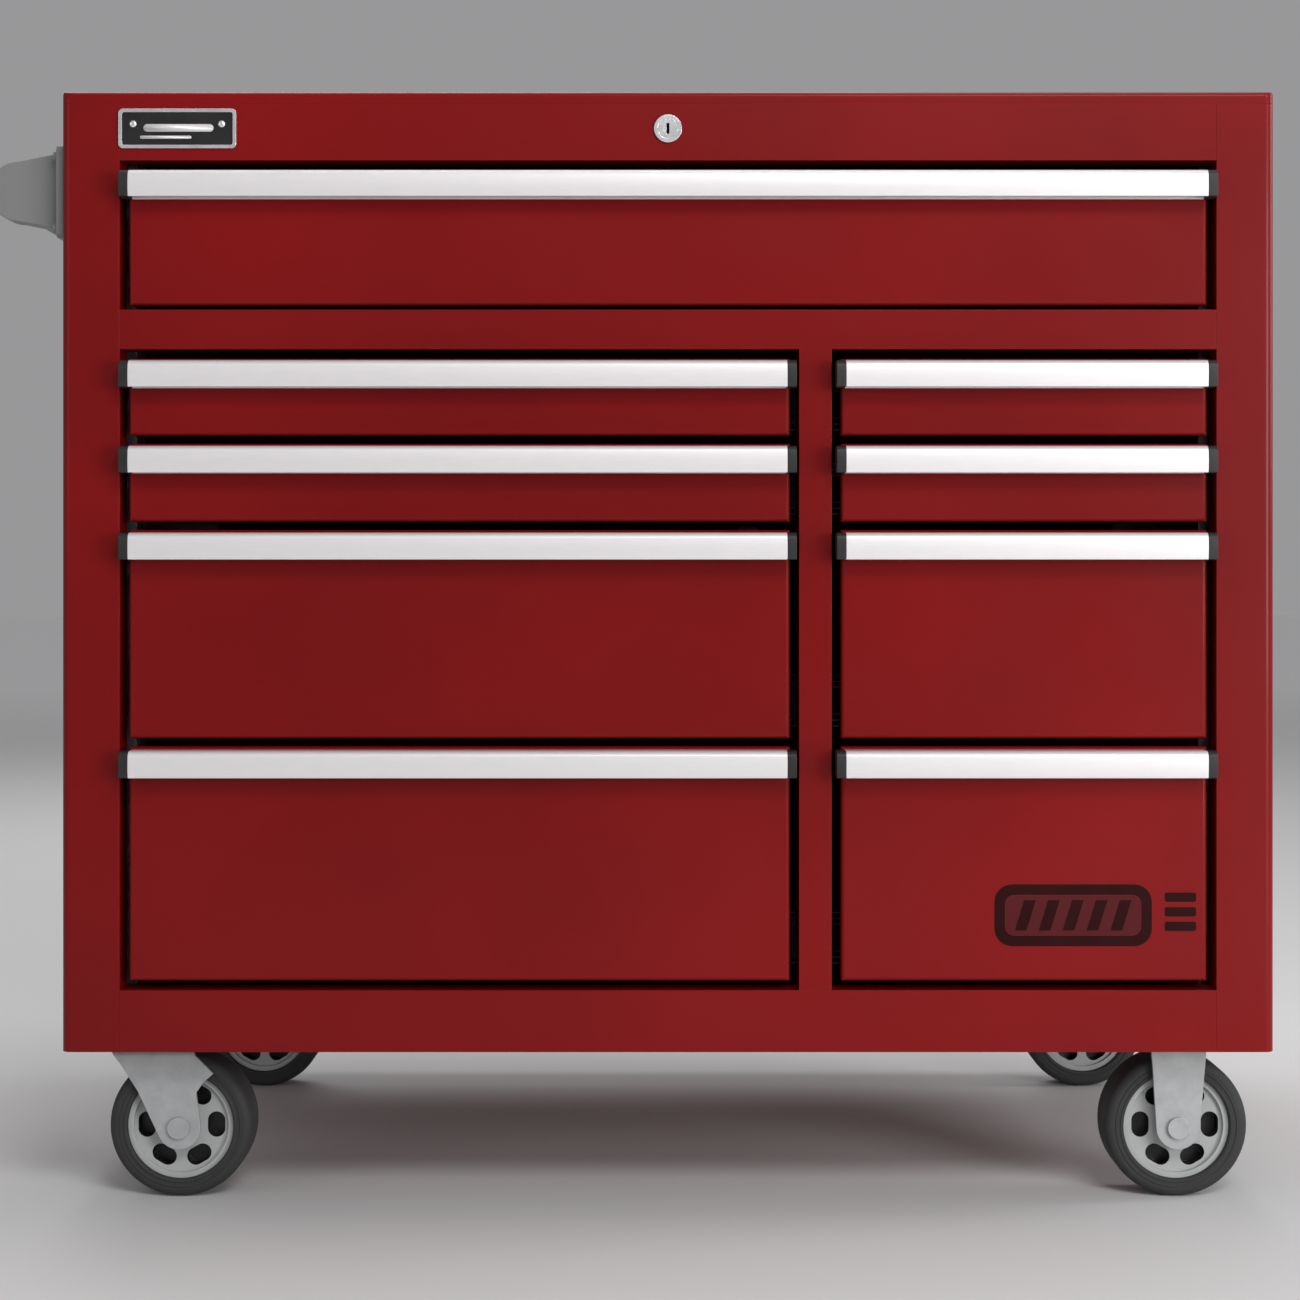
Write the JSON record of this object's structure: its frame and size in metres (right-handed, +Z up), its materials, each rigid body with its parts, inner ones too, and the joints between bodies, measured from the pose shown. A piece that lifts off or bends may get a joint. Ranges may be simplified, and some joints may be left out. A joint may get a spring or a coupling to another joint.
{
  "type": "rolling tool chest",
  "caption": "Wide rolling steel tool cabinet with full-width top drawer over two banks of drawers, side push handle, lock and casters.",
  "frame": {"origin": "on the floor, under the middle of the whole object's bounding box", "axes": "+X to the right as seen from the drawer side, +Y to the back, +Z up; the push handle is at -X"},
  "size_m": [1.111, 0.62, 0.96],
  "materials": {
    "red_paint": "glossy powder coat",
    "aluminium_pull": "satin anodised, black plastic end caps",
    "zinc_steel": "bright zinc plate",
    "fork_zinc": "dull zinc plate",
    "black_plastic": "moulded",
    "handle_grey": "satin grey coat",
    "chrome_lock": "bright plate",
    "badge_metal": "satin rim round a dark face",
    "hub_grey": "moulded light grey",
    "tyre_rubber": "matt rubber"
  },
  "bodies": {
    "cabinet": {"side_panel_left": "red_paint", "side_panel_right": "red_paint", "back_panel": "red_paint", "top_panel": "red_paint", "base_pan": "red_paint", "top_rail": "red_paint", "mid_rail": "red_paint", "bottom_rail": "red_paint", "centre_partition": "red_paint", "mid_shelf": "red_paint", "slide_uprights": "zinc_steel", "slide_cabinet_members": "zinc_steel", "lock_housing": "chrome_lock", "lock_guides": "black_plastic", "handle_brackets": "handle_grey", "handle_tube": "handle_grey", "badge": "badge_metal", "swivel_caster_plates": "fork_zinc", "rigid_caster_forks": "fork_zinc", "rigid_caster_axles": "zinc_steel", "caster_bolts": "zinc_steel"},
    "drawer_top": {"drawer_top_tray": "red_paint", "drawer_top_pull": "aluminium_pull"},
    "drawer_top_mid_slides": {"drawer_top_slides": "zinc_steel"},
    "drawer_left_1": {"drawer_left_1_tray": "red_paint", "drawer_left_1_pull": "aluminium_pull"},
    "drawer_left_1_mid_slides": {"drawer_left_1_slides": "zinc_steel"},
    "drawer_left_2": {"drawer_left_2_tray": "red_paint", "drawer_left_2_pull": "aluminium_pull"},
    "drawer_left_2_mid_slides": {"drawer_left_2_slides": "zinc_steel"},
    "drawer_left_3": {"drawer_left_3_tray": "red_paint", "drawer_left_3_pull": "aluminium_pull"},
    "drawer_left_3_mid_slides": {"drawer_left_3_slides": "zinc_steel"},
    "drawer_left_4": {"drawer_left_4_tray": "red_paint", "drawer_left_4_pull": "aluminium_pull"},
    "drawer_left_4_mid_slides": {"drawer_left_4_slides": "zinc_steel"},
    "drawer_right_1": {"drawer_right_1_tray": "red_paint", "drawer_right_1_pull": "aluminium_pull"},
    "drawer_right_1_mid_slides": {"drawer_right_1_slides": "zinc_steel"},
    "drawer_right_2": {"drawer_right_2_tray": "red_paint", "drawer_right_2_pull": "aluminium_pull"},
    "drawer_right_2_mid_slides": {"drawer_right_2_slides": "zinc_steel"},
    "drawer_right_3": {"drawer_right_3_tray": "red_paint", "drawer_right_3_pull": "aluminium_pull"},
    "drawer_right_3_mid_slides": {"drawer_right_3_slides": "zinc_steel"},
    "drawer_right_4": {"drawer_right_4_tray": "red_paint", "drawer_right_4_pull": "aluminium_pull"},
    "drawer_right_4_mid_slides": {"drawer_right_4_slides": "zinc_steel"},
    "lock_cylinder": {"lock_cylinder": "chrome_lock"},
    "lock_bar": {"lock_bar": "zinc_steel"},
    "swivel_front": {"swivel_fork_front": "fork_zinc"},
    "swivel_rear": {"swivel_fork_rear": "fork_zinc"},
    "wheel_front_left": {"wheel_front_left_hub": "hub_grey", "wheel_front_left_tyre": "tyre_rubber"},
    "wheel_rear_left": {"wheel_rear_left_hub": "hub_grey", "wheel_rear_left_tyre": "tyre_rubber"},
    "wheel_front_right": {"wheel_front_right_hub": "hub_grey", "wheel_front_right_tyre": "tyre_rubber"},
    "wheel_rear_right": {"wheel_rear_right_hub": "hub_grey", "wheel_rear_right_tyre": "tyre_rubber"}
  },
  "joints": [
    {"name": "drawer_top_slide", "type": "slide", "parent": "cabinet", "child": "drawer_top", "axis": [0, -1, 0], "range_m": [0, 0.48]},
    {"name": "drawer_top_mid_slide", "type": "slide", "parent": "cabinet", "child": "drawer_top_mid_slides", "axis": [0, -1, 0], "range_m": [0, 0.241]},
    {"name": "drawer_left_1_slide", "type": "slide", "parent": "cabinet", "child": "drawer_left_1", "axis": [0, -1, 0], "range_m": [0, 0.48]},
    {"name": "drawer_left_1_mid_slide", "type": "slide", "parent": "cabinet", "child": "drawer_left_1_mid_slides", "axis": [0, -1, 0], "range_m": [0, 0.241]},
    {"name": "drawer_left_2_slide", "type": "slide", "parent": "cabinet", "child": "drawer_left_2", "axis": [0, -1, 0], "range_m": [0, 0.48]},
    {"name": "drawer_left_2_mid_slide", "type": "slide", "parent": "cabinet", "child": "drawer_left_2_mid_slides", "axis": [0, -1, 0], "range_m": [0, 0.241]},
    {"name": "drawer_left_3_slide", "type": "slide", "parent": "cabinet", "child": "drawer_left_3", "axis": [0, -1, 0], "range_m": [0, 0.48]},
    {"name": "drawer_left_3_mid_slide", "type": "slide", "parent": "cabinet", "child": "drawer_left_3_mid_slides", "axis": [0, -1, 0], "range_m": [0, 0.241]},
    {"name": "drawer_left_4_slide", "type": "slide", "parent": "cabinet", "child": "drawer_left_4", "axis": [0, -1, 0], "range_m": [0, 0.48]},
    {"name": "drawer_left_4_mid_slide", "type": "slide", "parent": "cabinet", "child": "drawer_left_4_mid_slides", "axis": [0, -1, 0], "range_m": [0, 0.241]},
    {"name": "drawer_right_1_slide", "type": "slide", "parent": "cabinet", "child": "drawer_right_1", "axis": [0, -1, 0], "range_m": [0, 0.48]},
    {"name": "drawer_right_1_mid_slide", "type": "slide", "parent": "cabinet", "child": "drawer_right_1_mid_slides", "axis": [0, -1, 0], "range_m": [0, 0.241]},
    {"name": "drawer_right_2_slide", "type": "slide", "parent": "cabinet", "child": "drawer_right_2", "axis": [0, -1, 0], "range_m": [0, 0.48]},
    {"name": "drawer_right_2_mid_slide", "type": "slide", "parent": "cabinet", "child": "drawer_right_2_mid_slides", "axis": [0, -1, 0], "range_m": [0, 0.241]},
    {"name": "drawer_right_3_slide", "type": "slide", "parent": "cabinet", "child": "drawer_right_3", "axis": [0, -1, 0], "range_m": [0, 0.48]},
    {"name": "drawer_right_3_mid_slide", "type": "slide", "parent": "cabinet", "child": "drawer_right_3_mid_slides", "axis": [0, -1, 0], "range_m": [0, 0.241]},
    {"name": "drawer_right_4_slide", "type": "slide", "parent": "cabinet", "child": "drawer_right_4", "axis": [0, -1, 0], "range_m": [0, 0.48]},
    {"name": "drawer_right_4_mid_slide", "type": "slide", "parent": "cabinet", "child": "drawer_right_4_mid_slides", "axis": [0, -1, 0], "range_m": [0, 0.241]},
    {"name": "lock_turn", "type": "hinge", "parent": "cabinet", "child": "lock_cylinder", "pos_m": [0.035, -0.29, 0.928], "axis": [0, -1, 0], "range_deg": [0, 90]},
    {"name": "lock_bar_lift", "type": "slide", "parent": "cabinet", "child": "lock_bar", "axis": [0, 0, 1], "range_m": [0, 0.0226]},
    {"name": "swivel_front_turn", "type": "hinge", "parent": "cabinet", "child": "swivel_front", "pos_m": [-0.42, -0.222, 0], "axis": [0, 0, 1], "continuous": true},
    {"name": "swivel_rear_turn", "type": "hinge", "parent": "cabinet", "child": "swivel_rear", "pos_m": [-0.42, 0.242, 0], "axis": [0, 0, 1], "continuous": true},
    {"name": "wheel_front_left_spin", "type": "hinge", "parent": "swivel_front", "child": "wheel_front_left", "pos_m": [-0.392, -0.222, 0.0625], "axis": [0, 1, 0], "continuous": true},
    {"name": "wheel_rear_left_spin", "type": "hinge", "parent": "swivel_rear", "child": "wheel_rear_left", "pos_m": [-0.392, 0.242, 0.0625], "axis": [0, 1, 0], "continuous": true},
    {"name": "wheel_front_right_spin", "type": "hinge", "parent": "cabinet", "child": "wheel_front_right", "pos_m": [0.481, -0.222, 0.0625], "axis": [0, 1, 0], "continuous": true},
    {"name": "wheel_rear_right_spin", "type": "hinge", "parent": "cabinet", "child": "wheel_rear_right", "pos_m": [0.481, 0.242, 0.0625], "axis": [0, 1, 0], "continuous": true}
  ],
  "couplings": [
    {"joint": "drawer_top_mid_slide", "follows": "drawer_top_slide", "ratio": 0.5},
    {"joint": "drawer_left_1_mid_slide", "follows": "drawer_left_1_slide", "ratio": 0.5},
    {"joint": "drawer_left_2_mid_slide", "follows": "drawer_left_2_slide", "ratio": 0.5},
    {"joint": "drawer_left_3_mid_slide", "follows": "drawer_left_3_slide", "ratio": 0.5},
    {"joint": "drawer_left_4_mid_slide", "follows": "drawer_left_4_slide", "ratio": 0.5},
    {"joint": "drawer_right_1_mid_slide", "follows": "drawer_right_1_slide", "ratio": 0.5},
    {"joint": "drawer_right_2_mid_slide", "follows": "drawer_right_2_slide", "ratio": 0.5},
    {"joint": "drawer_right_3_mid_slide", "follows": "drawer_right_3_slide", "ratio": 0.5},
    {"joint": "drawer_right_4_mid_slide", "follows": "drawer_right_4_slide", "ratio": 0.5},
    {"joint": "lock_turn", "follows": "lock_bar_lift", "rad_per_m": 69.39}
  ]
}
